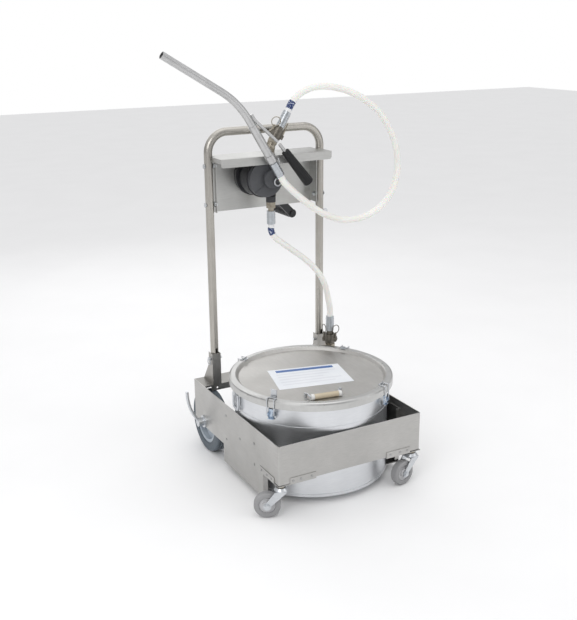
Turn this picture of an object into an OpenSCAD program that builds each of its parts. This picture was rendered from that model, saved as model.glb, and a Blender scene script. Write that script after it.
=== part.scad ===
// Oil transport trolley: a low stainless cart that carries a lidded steel drum, with a hand pump
// on a tubular push handle, a suction hose to the drum and a discharge hose to a pouring wand.

/* [Cart] */
// Half of the cart's width, outside the side plates
half_w = 239; // [237:1:242]
// Length of the cart from the front plate to the rear edge
cart_l = 584; // [580:1:590]
// Height of the top edge of the side and front plates
plate_top = 224; // [222:1:228]
// Height of the front plate's lower edge
front_low = 106; // [105:1:108]
// Height of the side plates' lower edge behind the cradle
rear_low = 84; // [80:1:90]
// Thickness of the cart's sheet steel
sheet = 2; // [2:0.1:2.2]

/* [Wheels] */
// Outside radius of the rear wheels
wheel_r = 101; // [99:0.5:101]
// Distance of the rear axle from the front plate
axle_y = 514; // [510:1:520]
// Width of a rear tyre
tyre_w = 45; // [40:1:45]
// Radius of a caster wheel
caster_r = 38.1; // [36:0.1:38.2]
// Distance of a caster's swivel axis from the cart's centreline
caster_x = 223; // [222:1:224]
// Distance of a caster's swivel axis from the front plate
caster_y = 18; // [16:1:18]
// Trail from the swivel axis to the caster's axle
trail = 39; // [38:0.5:39]

/* [Drum] */
// Distance of the drum's axis from the front plate
drum_y = 238; // [237:1:239]
// Outside radius of the drum
drum_r = 232; // [231:0.5:232]
// Outside radius of the lid
lid_r = 248; // [247.5:0.5:248]
// Height of the top of the lid's rim
lid_top = 320; // [320:1:321]

/* [Handle] */
// Distance of a handle leg from the centreline
leg_x = 193; // [192.5:0.5:193]
// Distance of the handle legs from the front plate
leg_y = 517; // [517:0.5:517.5]
// Outside radius of the handle tube
tube_r = 12.7; // [12.5:0.1:12.7]
// Height of the centreline of the handle's top bar
handle_z = 1021; // [1015:1:1030]
// Bend radius of the handle's upper corners
corner_r = 62; // [58:1:64]

/* [Pump] */
// Pump centre, across the cart
pump_x = -34; // [-36:1:-32]
// Pump centre, height
pump_z = 880; // [879:1:881]
// Offset of the pump shaft from the pump centre
shaft_off = 15; // [14:0.5:15]
// Length of the crank from the shaft to the grip
crank_l = 197; // [190:1:200]
// Angle of the crank below the horizontal at rest
crank_angle = 46; // [40:1:50]

/* [Wand] */
// Distance of the wand from the front plate
wand_y = 404; // [402:1:405]
// Tilt of the wand's lower straight from the vertical
wand_tilt = 31; // [30:1:32]
// Angle of the bend in the wand
wand_bend = 28; // [26:1:30]

/* [Hidden] */
$fn = 64;
// Moves the cart's origin so that the whole part stands centred on the frame's origin
shift_x = 37.7;
shift_y = -333.3;
cradle_front = 100;
cradle_back = 369;
cradle_low = 20;
axle_r = 8;
wheel_x = half_w - 3.5 - tyre_w / 2;
// Directions in which the casters trail at rest
caster_angle_left = 152;
caster_angle_right = 192;
side_rivets = [[343, 186], [343, 108], [247, 148], [152, 172], [152, 106]];
strip_rivets_y = [43, 69, 103];
strip_rivets_x = [134, 169, 194];
rivet_r = 2.4;
bolt_z = [922, 805];
pin_z = 310;
shelf_z = 950;
lip_y = 434;
panel_y = 546;
flange_x = 176;
shaft_x = pump_x + shaft_off;
port_x = -9;
port_y = 468;
grip_x = shaft_x + crank_l * cos(crank_angle);
grip_z = pump_z - crank_l * sin(crank_angle);
outlet = [-10, port_y, 972];
outlet_tilt = 31;
riser = [192, 445];
riser_dir = atan2(drum_y - riser[1], -riser[0]);
riser_turn = -43;
wand_low = [-45, wand_y, 954];
latch_angles = [33, 123, 213, 303];
ear_angles = [172, 8];
lid_handle_at = [-51, 60];
lid_handle_turn = -9;
hose_r = 10.5;
suction_r = 9.5;
ferrule_r = 13;
outlet_ferrule_end = 118;
hose_first = outlet + (outlet_ferrule_end + 8) * [sin(outlet_tilt), 0, cos(outlet_tilt)];
hose_last = wand_low + 78 * [sin(wand_tilt), 0, -cos(wand_tilt)];
hose_start = outlet + outlet_ferrule_end * [sin(outlet_tilt), 0, cos(outlet_tilt)];
hose_lead = outlet + (outlet_ferrule_end + 25) * [sin(outlet_tilt), 0, cos(outlet_tilt)];
hose_end = wand_low + 70 * [sin(wand_tilt), 0, -cos(wand_tilt)];
hose_tail = wand_low + 95 * [sin(wand_tilt), 0, -cos(wand_tilt)];

// Centreline of the discharge hose, from the coupling to the wand
discharge_route = [
    hose_start, hose_first, hose_lead,
    [78, 467, 1113], [98, 465, 1128], [134, 462, 1142], [181, 459, 1144], [233, 456, 1135],
    [286, 452, 1116], [334, 449, 1087], [373, 446, 1055], [403, 443, 1012], [425, 438, 966],
    [436, 434, 914], [434, 430, 865], [418, 426, 817], [385, 422, 775], [340, 419, 746],
    [284, 416, 732], [220, 413, 733], [162, 410, 753], [117, 407, 778], [73, 405, 810],
    [34, 404, 843], hose_tail, hose_last, hose_end];

// Centreline of the suction hose, from the pump to the drum's riser
suction_route = [
    [port_x, port_y, 735], [port_x, port_y, 727], [port_x, port_y, 712], [4, 467, 690],
    [32, 465, 667], [67, 461, 640], [107, 457, 608], [147, 452, 566], [174, 449, 518],
    [187, 446, 461], [riser[0], riser[1], 432], [riser[0], riser[1], 416], [riser[0], riser[1], 408]];

// ---- placing and shape helpers ----

// Moves the cart's own coordinates to the part's frame, whose origin is under the box's centre
module place() {
    translate([shift_x, shift_y, 0]) children();
}

// Round bar along X
module rod_x(r, x0, x1, y, z) {
    translate([x0, y, z]) rotate([0, 90, 0]) cylinder(r = r, h = x1 - x0);
}

// Round bar along Y
module rod_y(r, y0, y1, x, z) {
    translate([x, y0, z]) rotate([-90, 0, 0]) cylinder(r = r, h = y1 - y0);
}

// Box between two opposite corners
module block(low, high) {
    translate(low) cube(high - low);
}

// Outline given in Y and Z, extruded along X from x0
module sheet_x(x0, t) {
    translate([x0, 0, 0]) rotate([90, 0, 90]) linear_extrude(t) children();
}

// Outline given in X and Z, extruded along Y from y0
module sheet_y(y0, t) {
    translate([0, y0 + t, 0]) rotate([90, 0, 0]) linear_extrude(t) children();
}

// Rectangle with round corners
module rounded(low, high, r) {
    union() {
        translate([low[0] + r, low[1]]) square([high[0] - low[0] - 2 * r, high[1] - low[1]]);
        translate([low[0], low[1] + r]) square([high[0] - low[0], high[1] - low[1] - 2 * r]);
        for (x = [low[0] + r, high[0] - r], y = [low[1] + r, high[1] - r])
            translate([x, y]) circle(r);
    }
}

// Quarter or less of a bent round bar: starts upright at the origin and leans towards -X
module bend(radius, angle, r) {
    translate([-radius, 0, 0]) {
        rotate([90, 0, 0]) rotate_extrude(angle = angle) translate([radius, 0]) circle(r);
        rotate([0, -angle, 0]) translate([radius, 0, 0]) children();
    }
}

// Bent round bar: each step is [straight length, bend radius, bend angle], the last only a length
module run(steps, r, i = 0) {
    s = steps[i];
    cylinder(r = r, h = s[0]);
    if (i + 1 < len(steps))
        translate([0, 0, s[0]])
            if (s[2] > 0)
                bend(s[1], s[2], r) run(steps, r, i + 1);
            else
                mirror([1, 0, 0]) bend(s[1], -s[2], r) mirror([1, 0, 0]) run(steps, r, i + 1);
}

// Point on a smooth curve through the route's points, k steps of n past point i
function curve_point(p, i, k, n) =
    let (a = p[max(i - 1, 0)], b = p[i], c = p[i + 1], d = p[min(i + 2, len(p) - 1)], t = k / n)
    0.5 * (2 * b + (c - a) * t + (2 * a - 5 * b + 4 * c - d) * t * t
        + (3 * b - a - 3 * c + d) * t * t * t);

function smooth(p, n) = concat(
    [for (i = [0 : len(p) - 2], k = [0 : n - 1]) curve_point(p, i, k, n)], [p[len(p) - 1]]);

function unit(v) = v / norm(v);

function heading(p, i) = unit(p[min(i + 1, len(p) - 1)] - p[max(i - 1, 0)]);

// Hose swept along a route, as one polyhedron with flat ends
module hose(route, r, n, sides) {
    p = smooth(route, n);
    rings = len(p);
    points = [for (i = [0 : rings - 1])
        let (t = heading(p, i), u = unit(cross(t, [0, 1, 0])), v = cross(t, u))
        for (j = [0 : sides - 1]) p[i] + r * (cos(360 * j / sides) * u + sin(360 * j / sides) * v)];
    walls = [for (i = [0 : rings - 2], j = [0 : sides - 1])
        let (k = (j + 1) % sides)
        [i * sides + j, i * sides + k, (i + 1) * sides + k, (i + 1) * sides + j]];
    low_end = [for (j = [sides - 1 : -1 : 0]) j];
    high_end = [for (j = [0 : sides - 1]) (rings - 1) * sides + j];
    polyhedron(points, concat(walls, [low_end], [high_end]));
}

// Turns children to a place on the drum's wall: X outwards, Y along the wall
module on_drum(angle) {
    translate([0, drum_y, 0]) rotate([0, 0, angle]) children();
}

// Turns children to the outlet's sloping axis
module on_outlet(s) {
    translate(outlet) rotate([0, outlet_tilt, 0]) translate([0, 0, s]) children();
}

// Turns children to the riser at a height, with X along the drum's wall
module on_riser(z) {
    translate([riser[0], riser[1], z]) rotate([0, 0, riser_turn]) children();
}

// Turns children to the wand's lower straight, d below its low end
module below_wand(d) {
    translate(wand_low) rotate([0, 180 - wand_tilt, 0]) translate([0, 0, d]) children();
}

// Rod along X between two distances from the centreline, on the side s
module side_rod(r, s, from, to, y, z) {
    rod_x(r, min(s * from, s * to), max(s * from, s * to), y, z);
}

// Block between two distances from the centreline, on the side s
module side_block(s, low, high) {
    block([min(s * low[0], s * high[0]), low[1], low[2]],
        [max(s * low[0], s * high[0]), high[1], high[2]]);
}

// ---- cart ----

// Shanks of the rivets that hold the cradle and the corner strips
module rivet_shanks(r) {
    for (s = [-1, 1]) {
        for (p = side_rivets)
            side_rod(r, s, 234, half_w + 1, p[0], p[1]);
        for (y = strip_rivets_y)
            side_rod(r, s, half_w - 3, half_w + 2.5, y, 110);
        for (x = strip_rivets_x)
            rod_y(r, -2.5, 3, s * x, 112);
    }
}

module cart_wrap() {
    place() color("silver") difference() {
        intersection() {
            linear_extrude(300) difference() {
                rounded([-half_w, 0], [half_w, cart_l + 40], 4);
                rounded([-half_w + sheet, sheet], [half_w - sheet, cart_l + 60], 2);
            }
            sheet_x(-half_w - 1, 2 * half_w + 2) polygon([[-1, front_low], [48, front_low],
                [374, rear_low], [cart_l, rear_low], [cart_l, plate_top], [-1, plate_top]]);
        }
        rivet_shanks(rivet_r + 0.05);
        rod_x(axle_r + 0.05, -half_w - 1, half_w + 1, axle_y, wheel_r);
    }
}

// Left-hand corner bracket: two outside strips joined by the shelf that carries the caster
module corner_bracket() {
    difference() {
        union() {
            block([-half_w - 2, 25, 102], [-half_w, 113, 120]);
            block([-204, -2, 102], [-120, 0, 122]);
            difference() {
                block([-half_w - 2, -2, 102], [-120, 47, 104]);
                translate([-176, 22, 101]) cube([60, 30, 4]);
            }
        }
        rivet_shanks(rivet_r + 0.05);
        translate([-caster_x, caster_y, 100]) cylinder(r = 6.05, h = 6);
    }
}

module corner_brackets() {
    place() color("lightgray") {
        corner_bracket();
        mirror([1, 0, 0]) corner_bracket();
    }
}

module drum_cradle() {
    wall = 235;
    place() color("darkgray") difference() {
        union() {
            sheet_y(cradle_front, cradle_back - cradle_front) intersection() {
                difference() {
                    rounded([-wall - sheet, cradle_low], [wall + sheet, 400], 3);
                    rounded([-wall, cradle_low + sheet], [wall, 420], 1);
                }
                translate([-300, 0]) square([600, 200]);
            }
            for (s = [-1, 1])
                side_block(s, [222, cradle_front, 30], [wall, cradle_front + sheet, 200]);
        }
        rivet_shanks(rivet_r + 0.05);
    }
}

module rear_channel() {
    inner = half_w - sheet;
    place() color("gray") difference() {
        union() {
            block([-inner, 504, plate_top - sheet], [inner, cart_l, plate_top]);
            block([-213, 504, 204], [213, 506, plate_top]);
            block([-inner, cart_l - sheet, 184], [inner, cart_l, plate_top]);
        }
        for (s = [-1, 1]) rod_y(3.5, 500, 510, s * leg_x, 213);
    }
}

module rear_axle() {
    place() color("gray") rod_x(axle_r, -half_w - 13, half_w + 13, axle_y, wheel_r);
}

// Boss outside the plate with its split pin, and the spacer inside the wheel
module axle_end_cap() {
    difference() {
        union() {
            rod_x(20, -half_w - 4, -half_w, axle_y, wheel_r);
            rod_x(13, -half_w - 9, -half_w - 4, axle_y, wheel_r);
        }
        rod_x(axle_r + 0.05, -half_w - 12, -half_w + 1, axle_y, wheel_r);
    }
    difference() {
        rod_x(14, -188, -176, axle_y, wheel_r);
        rod_x(axle_r + 0.05, -190, -174, axle_y, wheel_r);
    }
}

module axle_end_caps() {
    place() color("silver") {
        axle_end_cap();
        mirror([1, 0, 0]) axle_end_cap();
    }
}

// Bent bar that rises from the axle's end, clear of the side plate
module axle_hook() {
    difference() {
        union() {
            translate([-half_w - 16, axle_y, wheel_r]) rotate([0, -34, 0])
                run([[20, 163, -31], [14]], 5);
            rod_x(14, -half_w - 23, -half_w - 9, axle_y, wheel_r);
        }
        rod_x(axle_r, -half_w - 13, -half_w - 8, axle_y, wheel_r);
    }
}

module axle_hooks() {
    place() color("silver") {
        axle_hook();
        mirror([1, 0, 0]) axle_hook();
    }
}

// Folded post that the handle's leg stands in, with gusset cheeks behind it
module leg_bracket() {
    wide = tube_r + 1.6;
    front = leg_y - tube_r - 1.8;
    difference() {
        union() {
            block([-leg_x - wide, front, 206], [-leg_x + wide, front + 1.5, 329]);
            for (x = [-leg_x - wide, -leg_x + wide - 1.5])
                sheet_x(x, 1.5) polygon([[front + 1, plate_top], [578, plate_top], [540, 278],
                    [leg_y + 15, 290], [leg_y + 15, 329], [front + 1, 329]]);
            block([-leg_x - wide, front + 1.5, plate_top], [-leg_x + wide, 578, plate_top + 1.5]);
        }
        rod_x(4.05, -leg_x - 30, -leg_x + 30, leg_y, pin_z);
        rod_y(3.5, 495, 507, -leg_x, 213);
    }
}

module leg_brackets() {
    place() color("gray") {
        leg_bracket();
        mirror([1, 0, 0]) leg_bracket();
    }
}

module frame_rivets() {
    place() color("dimgray") {
        for (s = [-1, 1]) {
            for (p = side_rivets) {
                side_rod(rivet_r, s, 234.5, half_w, p[0], p[1]);
                side_rod(4, s, half_w, half_w + 1.2, p[0], p[1]);
            }
            for (y = strip_rivets_y) {
                side_rod(rivet_r, s, half_w - 2.5, half_w + 2, y, 110);
                side_rod(3.5, s, half_w + 2, half_w + 3.2, y, 110);
            }
            for (x = strip_rivets_x) {
                rod_y(rivet_r, -2, 2.5, s * x, 112);
                rod_y(3.5, -3.2, -2, s * x, 112);
            }
        }
    }
}

// ---- handle and panel ----

// The handle's bent tube at a given radius, open at both feet by an extra length
module handle_run(r, extra) {
    foot = 240;
    translate([-leg_x, leg_y, foot - extra]) mirror([1, 0, 0])
        run([[handle_z - corner_r - foot + extra, corner_r, 90],
            [2 * (leg_x - corner_r), corner_r, 90], [handle_z - corner_r - foot + extra]], r);
}

module handle_tube() {
    place() color("darkgray") difference() {
        handle_run(tube_r, 0);
        handle_run(tube_r - 1.5, 1);
        for (s = [-1, 1]) {
            rod_x(4.05, s * leg_x - 20, s * leg_x + 20, leg_y, pin_z);
            for (z = bolt_z) rod_x(3.05, s * leg_x - 20, s * leg_x + 20, leg_y, z);
            block([s * leg_x - 2, leg_y - 20, 329], [s * leg_x + 6, leg_y - 5, 345]);
        }
    }
}

module pump_panel() {
    place() color("silver") difference() {
        union() {
            block([-flange_x, panel_y, 775], [flange_x, panel_y + sheet, shelf_z]);
            for (s = [-1, 1])
                side_block(s, [flange_x - sheet, 503, 780], [flange_x, panel_y + sheet, shelf_z]);
            translate([0, 0, shelf_z - sheet]) linear_extrude(sheet)
                polygon([[-flange_x, panel_y + sheet], [-flange_x, 503], [-188, 503], [-188, lip_y],
                    [188, lip_y], [188, 503], [flange_x, 503], [flange_x, panel_y + sheet]]);
            sheet_y(lip_y, sheet) intersection() {
                rounded([-188, 925], [188, 975], 8);
                translate([-200, 900]) square([400, shelf_z - 900]);
            }
            for (s = [-1, 1])
                side_block(s, [186, lip_y + 1, 937], [188, 503, shelf_z]);
        }
        rod_y(20, 540, 552, shaft_x, pump_z);
        translate([port_x, port_y, 940]) cylinder(r = 16, h = 20);
        rod_y(4.5, 430, 440, -5, 939);
        for (s = [-1, 1], z = bolt_z) rod_x(3.05, s * 175 - 5, s * 175 + 5, leg_y, z);
    }
}

// Carriage bolts through the legs with their spacers and nuts, and the stop knob on the right leg
module panel_bolts() {
    place() color("lightgray") {
        for (s = [-1, 1], z = bolt_z) mirror([s < 0 ? 1 : 0, 0, 0]) {
            rod_x(3, 166, leg_x + tube_r, leg_y, z);
            rod_x(7, leg_x + tube_r, leg_x + tube_r + 3, leg_y, z);
            difference() {
                rod_x(8, flange_x, leg_x - tube_r, leg_y, z);
                rod_x(3, flange_x - 1, leg_x - tube_r + 1, leg_y, z);
            }
            difference() {
                translate([168, leg_y, z]) rotate([0, 90, 0]) cylinder(r = 6.5, h = 6, $fn = 6);
                rod_x(3, 160, 180, leg_y, z);
            }
        }
        rod_x(9, leg_x + tube_r, leg_x + tube_r + 13, leg_y, 744);
    }
}

// ---- pump ----

module pump_body() {
    place() color([0.13, 0.13, 0.14]) difference() {
        union() {
            rod_y(62, 530, panel_y, pump_x, pump_z);
            rod_y(53, 505, 530, pump_x, pump_z);
            rod_y(59, 463, 505, pump_x, pump_z);
            block([port_x - 15, 463, 822], [port_x + 15, 483, 850]);
            block([port_x - 15, 463, 910], [port_x + 15, 483, 938]);
            translate([port_x, port_y, 804]) cylinder(r = 15, h = 18);
        }
        rod_y(46, 462, 500, pump_x, pump_z);
        rod_y(8.05, 499, 560, shaft_x, pump_z);
        translate([port_x, 473, 803]) cylinder(r = 9, h = 50);
        translate([port_x, 473, 900]) cylinder(r = 9, h = 50);
    }
}

module pump_cover() {
    place() color([0.2, 0.2, 0.22]) difference() {
        union() {
            rod_y(56, 445, 463, pump_x, pump_z);
            rod_y(28, 432, 446, shaft_x, pump_z);
        }
        rod_y(8.05, 440, 464, shaft_x, pump_z);
        for (a = [100, 215, 330])
            translate([shaft_x, 444, pump_z]) rotate([0, -a, 0])
                translate([28, -1, -2]) cube([70, 3, 4]);
    }
}

module pump_rotor() {
    place() color("gray") union() {
        rod_y(30, 465, 499.5, shaft_x, pump_z);
        rod_y(8, 441, 592, shaft_x, pump_z);
    }
}

module crank_arm() {
    place() color([0.1, 0.1, 0.1]) {
        difference() {
            union() {
                rod_y(17, 556, 580, shaft_x, pump_z);
                translate([shaft_x, 562, pump_z]) rotate([0, crank_angle, 0])
                    translate([0, 0, -12]) cube([crank_l, 9, 24]);
                rod_y(14, 562, 571, grip_x, grip_z);
            }
            rod_y(8, 550, 590, shaft_x, pump_z);
            rod_y(5, 560, 575, grip_x, grip_z);
        }
        rod_y(5, 562, 678, grip_x, grip_z);
        rod_y(8, 557, 562, grip_x, grip_z);
        rod_y(9, 675.5, 680, grip_x, grip_z);
    }
}

module crank_grip() {
    place() color([0.08, 0.08, 0.08]) difference() {
        rod_y(15, 571.5, 675, grip_x, grip_z);
        rod_y(5.05, 570, 680, grip_x, grip_z);
    }
}

// ---- pipework ----

module outlet_pipe() {
    place() color([0.5, 0.47, 0.42]) difference() {
        union() {
            translate([port_x, port_y, 938]) cylinder(r = 13, h = 30);
            translate([outlet[0], outlet[1], 970]) sphere(r = 16);
            on_outlet(0) cylinder(r = 14, h = 14);
        }
        translate([port_x, port_y, 930]) cylinder(r = 8, h = 42);
        on_outlet(0) cylinder(r = 8, h = 20);
    }
}

module pump_inlet() {
    place() color([0.6, 0.57, 0.52]) difference() {
        union() {
            translate([port_x, port_y, 786]) cylinder(r = 16, h = 18, $fn = 6);
            translate([port_x, port_y, 760]) cylinder(r = 9, h = 30);
        }
        translate([port_x, port_y, 755]) cylinder(r = 6, h = 60);
    }
}

// Grooved half of a cam coupling, entering the other half from below
module cam_adapter() {
    difference() {
        union() {
            translate([0, 0, -16]) cylinder(r = 17, h = 12, $fn = 6);
            translate([0, 0, -4]) cylinder(r = 12, h = 11);
            cylinder(r = 9.5, h = 20);
            translate([0, 0, 17]) cylinder(r = 12, h = 5);
        }
        translate([0, 0, -17]) cylinder(r = 7, h = 50);
    }
}

module cam_adapters() {
    place() color([0.55, 0.5, 0.42]) {
        on_outlet(30) cam_adapter();
        on_riser(318) cam_adapter();
    }
}

// Socket half of a cam coupling, with two pairs of ears and their pins
module cam_coupler() {
    difference() {
        union() {
            cylinder(r = 17, h = 30);
            translate([0, 0, 30]) cylinder(r = 11, h = 12);
            for (s = [-1, 1], y = [-8.3, 5.3])
                side_block(s, [10, y, 5], [23, y + 3, 19]);
        }
        translate([0, 0, -1]) cylinder(r = 12.2, h = 24);
        cylinder(r = 6, h = 50);
        for (s = [-1, 1])
            side_block(s, [11, -5.3, 4], [26, 5.3, 20]);
    }
    for (s = [-1, 1]) rod_y(2, -8.3, 8.3, s * 18.7, 12);
}

module cam_couplers() {
    place() color([0.4, 0.37, 0.33]) {
        on_outlet(30) cam_coupler();
        on_riser(318) cam_coupler();
    }
}

// Cam lever on the +X side, with its pull ring turned about the lever's length
module cam_arm(ring_turn) {
    difference() {
        union() {
            rod_y(6.2, -5, 5, 18.7, 12);
            block([17.6, -5, 12], [21.6, 5, 34]);
        }
        rod_y(2.05, -6, 6, 18.7, 12);
    }
    translate([19.6, 0, 46]) rotate([0, 0, ring_turn]) rotate([90, 0, 0])
        rotate_extrude() translate([14, 0]) circle(1.3);
}

module cam_arm_outlet_left() {
    place() color([0.5, 0.45, 0.38]) on_outlet(30) mirror([1, 0, 0]) cam_arm(50);
}

module cam_arm_outlet_right() {
    place() color([0.5, 0.45, 0.38]) on_outlet(30) cam_arm(57);
}

module cam_arm_suction_left() {
    place() color([0.3, 0.28, 0.25]) on_riser(318) mirror([1, 0, 0]) cam_arm(52);
}

module cam_arm_suction_right() {
    place() color([0.3, 0.28, 0.25]) on_riser(318) cam_arm(52);
}

// Crimped sleeve on a hose end, bored for the stub it is pressed on
module ferrule(length, bore, depth) {
    difference() {
        cylinder(r = ferrule_r, h = length);
        translate([0, 0, -1]) cylinder(r = bore, h = depth + 1);
    }
}

module hose_ferrules() {
    place() color("lightgray") {
        on_outlet(68) ferrule(outlet_ferrule_end - 68, 11, 4);
        translate([port_x, port_y, 776]) rotate([180, 0, 0]) ferrule(41, 9.05, 16);
        on_riser(360) ferrule(48, 11, 1);
        below_wand(24) ferrule(46, 9.05, 21);
    }
}

module discharge_hose() {
    place() color("ivory") hose(discharge_route, hose_r, 2, 10);
}

module suction_hose() {
    place() color("ivory") hose(suction_route, suction_r, 3, 10);
}

// Pipe that drops from the coupling, turns into the drum's wall and runs down inside it
module riser_run(r, extra) {
    translate([riser[0], riser[1], 302 + extra]) rotate([0, 0, riser_dir]) mirror([0, 0, 1])
        mirror([1, 0, 0]) run([[52 + extra, 22, 90], [31, 22, -90], [172 + extra]], r);
}

module riser_pipe() {
    place() color("darkgray") difference() {
        union() {
            riser_run(9, 0);
            translate([0, drum_y, 228]) rotate([0, 0, riser_dir + 180]) rotate([0, 90, 0])
                translate([0, 0, drum_r + 1]) cylinder(r = 17, h = 7);
        }
        riser_run(7, 1);
    }
}

// ---- drum ----

module drum_shell() {
    wall = 1.5;
    place() color([0.78, 0.79, 0.8]) difference() {
        translate([0, drum_y, 0]) rotate_extrude($fn = 128) polygon([[0, 26], [0, 24], [drum_r, 24],
            [drum_r, 22], [drum_r + 2, 22], [drum_r + 2, 30], [drum_r, 31], [drum_r, 295],
            [drum_r + 8, 295], [drum_r + 8, 300], [drum_r - wall, 300], [drum_r - wall, 26]]);
        translate([0, drum_y, 228]) rotate([0, 0, riser_dir + 180]) rotate([0, 90, 0])
            translate([0, 0, 200]) cylinder(r = 9.05, h = 60);
    }
}

// Plate and knuckle of a ring handle
module drum_ear() {
    difference() {
        union() {
            block([drum_r + 0.2, -22, 252], [drum_r + 2.2, 22, 292]);
            block([drum_r + 2, -9, 280], [drum_r + 13, 9, 292]);
        }
        rod_y(3.55, -12, 12, drum_r + 8, 286);
    }
}

module drum_ears() {
    place() color("lightgray") for (a = ear_angles) on_drum(a) drum_ear();
}

// Rectangular ring handle of round bar with wide corners, hanging from its top bar
module drum_ring() {
    reach = 22;
    translate([drum_r + 8, 0, 286]) rotate([180, 0, 0]) rotate([0, 0, 90]) translate([-reach, 0, 0]) {
        for (x = [0, 2 * reach]) translate([x, 0, 10]) cylinder(r = 3.5, h = 28);
        for (z = [0, 48]) rod_x(3.5, 10, 2 * reach - 10, 0, z);
        for (c = [[10, 10, 180], [2 * reach - 10, 10, 270], [2 * reach - 10, 38, 0], [10, 38, 90]])
            translate([c[0], 0, c[1]]) rotate([90, 0, 0]) rotate([0, 0, c[2]])
                rotate_extrude(angle = 90) translate([10, 0]) circle(3.5);
    }
}

module drum_ring_left() {
    place() color("silver") on_drum(ear_angles[0]) drum_ring();
}

module drum_ring_right() {
    place() color("silver") on_drum(ear_angles[1]) drum_ring();
}

// Latch plate with two ears, the lever's pivot pin and a rivet
module latch_base() {
    difference() {
        block([drum_r + 0.2, -11, 262], [drum_r + 2.2, 11, 292]);
        rod_x(rivet_r, drum_r, drum_r + 3, 0, 267);
    }
    for (s = [-1, 1])
        block([drum_r + 2.2, min(s * 9, s * 11), 283], [drum_r + 11, max(s * 9, s * 11), 292.5]);
    rod_y(2, -12, 12, drum_r + 7, 288);
    rod_x(4, drum_r + 0.2, drum_r + 3, 0, 257);
}

module latch_bases() {
    place() color([0.75, 0.78, 0.82]) for (a = latch_angles) on_drum(a) latch_base();
}

// Over-centre lever, closed against the drum
module latch_lever() {
    p = drum_r + 7;
    difference() {
        union() {
            block([p + 4, -8.6, 262], [p + 6, 8.6, 291]);
            block([p + 6, -8.6, 262], [p + 13, 8.6, 264]);
            for (y = [-8.6, 6.6]) sheet_y(y, 2) union() {
                translate([p, 288]) circle(4.3);
                polygon([[p, 283.7], [p, 292.3], [p + 4, 291], [p + 6, 284], [p + 11, 281.8],
                    [p + 14.8, 279.5], [p + 14.8, 274],
                    [p + 6, 264], [p + 4, 264], [p + 4, 283.7]]);
            }
        }
        rod_y(2.05, -10, 10, p, 288);
        rod_y(1.55, -10, 10, p + 11.5, 277);
    }
}

module latch_lever_rear_right() {
    place() color([0.7, 0.75, 0.82]) on_drum(latch_angles[0]) latch_lever();
}

module latch_lever_rear_left() {
    place() color([0.7, 0.75, 0.82]) on_drum(latch_angles[1]) latch_lever();
}

module latch_lever_front_left() {
    place() color([0.7, 0.75, 0.82]) on_drum(latch_angles[2]) latch_lever();
}

module latch_lever_front_right() {
    place() color([0.7, 0.75, 0.82]) on_drum(latch_angles[3]) latch_lever();
}

// Wire bail, pinned in the lever's cheeks and lying over the lid's rim
module latch_bail() {
    x = drum_r + 18.5;
    r = 1.5;
    for (s = [-1, 1]) {
        rod_y(r, min(s * 6.8, s * 13), max(s * 6.8, s * 13), x, 277);
        translate([x, s * 11.5, 277]) cylinder(r = r, h = lid_top + 2 - 277 + r);
        rod_x(r, x - 16, x + r, s * 11.5, lid_top + 2);
    }
    rod_y(r, -13, 13, x - 14.5, lid_top + 2);
}

module latch_bail_rear_right() {
    place() color("silver") on_drum(latch_angles[0]) latch_bail();
}

module latch_bail_rear_left() {
    place() color("silver") on_drum(latch_angles[1]) latch_bail();
}

module latch_bail_front_left() {
    place() color("silver") on_drum(latch_angles[2]) latch_bail();
}

module latch_bail_front_right() {
    place() color("silver") on_drum(latch_angles[3]) latch_bail();
}

module lid() {
    place() color([0.72, 0.72, 0.71]) translate([0, drum_y, 0]) rotate_extrude($fn = 128)
        polygon([[0, 308], [221, 308], [226, 306], [lid_r - 2, 306], [lid_r - 2, 296], [lid_r, 296],
            [lid_r, lid_top - 6], [lid_r - 1.5, lid_top - 2], [lid_r - 6, lid_top], [229, lid_top],
            [225, 317], [219, 310], [0, 310]]);
}

module lid_gasket() {
    place() color([0.85, 0.84, 0.8]) translate([0, drum_y, 0]) rotate_extrude($fn = 128)
        translate([229, 300]) square([12, 6]);
}

// Bail catches on the rim, the tall tab at the front left one, and the lugs of the lid's handle
module lid_fittings() {
    place() color("lightgray") {
        for (a = latch_angles) on_drum(a) {
            block([224, -8, lid_top], [233, 8, lid_top + 2]);
            block([231, -8, lid_top + 2], [233, 8, lid_top + 7]);
        }
        on_drum(latch_angles[2]) block([227, -9.5, lid_top + 2], [229.5, 9.5, lid_top + 25]);
        translate([lid_handle_at[0], lid_handle_at[1], 0]) rotate([0, 0, lid_handle_turn])
            for (s = [-1, 1]) difference() {
                block([min(s * 51, s * 57), 20, 310], [max(s * 51, s * 57), 32, 323]);
                rod_x(2.55, -60, 60, 26, 318.3);
            }
    }
}

// Drop handle: a barrel on a wire bow, folded flat on the lid
module lid_handle() {
    place() color([0.82, 0.76, 0.62]) translate([lid_handle_at[0], lid_handle_at[1], 0])
        rotate([0, 0, lid_handle_turn]) {
            rod_x(7.5, -46, 46, 0, 318.3);
            for (s = [-1, 1]) {
                rod_x(2.5, min(s * 46, s * 48), max(s * 46, s * 48), 0, 318.3);
                rod_y(2.5, -2.5, 28.5, s * 48, 318.3);
                rod_x(2.5, min(s * 46, s * 58), max(s * 46, s * 58), 26, 318.3);
            }
        }
}

// ---- wheels ----

module rear_tyre(x) {
    half = tyre_w / 2;
    place() color([0.38, 0.42, 0.46]) translate([x, axle_y, wheel_r]) rotate([0, 90, 0])
        rotate_extrude($fn = 96) difference() {
            rounded([66, -half], [wheel_r, half], 8);
            translate([60, -30]) square([12, 60]);
        }
}

module rear_tyre_left() {
    rear_tyre(-wheel_x);
}

module rear_tyre_right() {
    rear_tyre(wheel_x);
}

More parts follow.
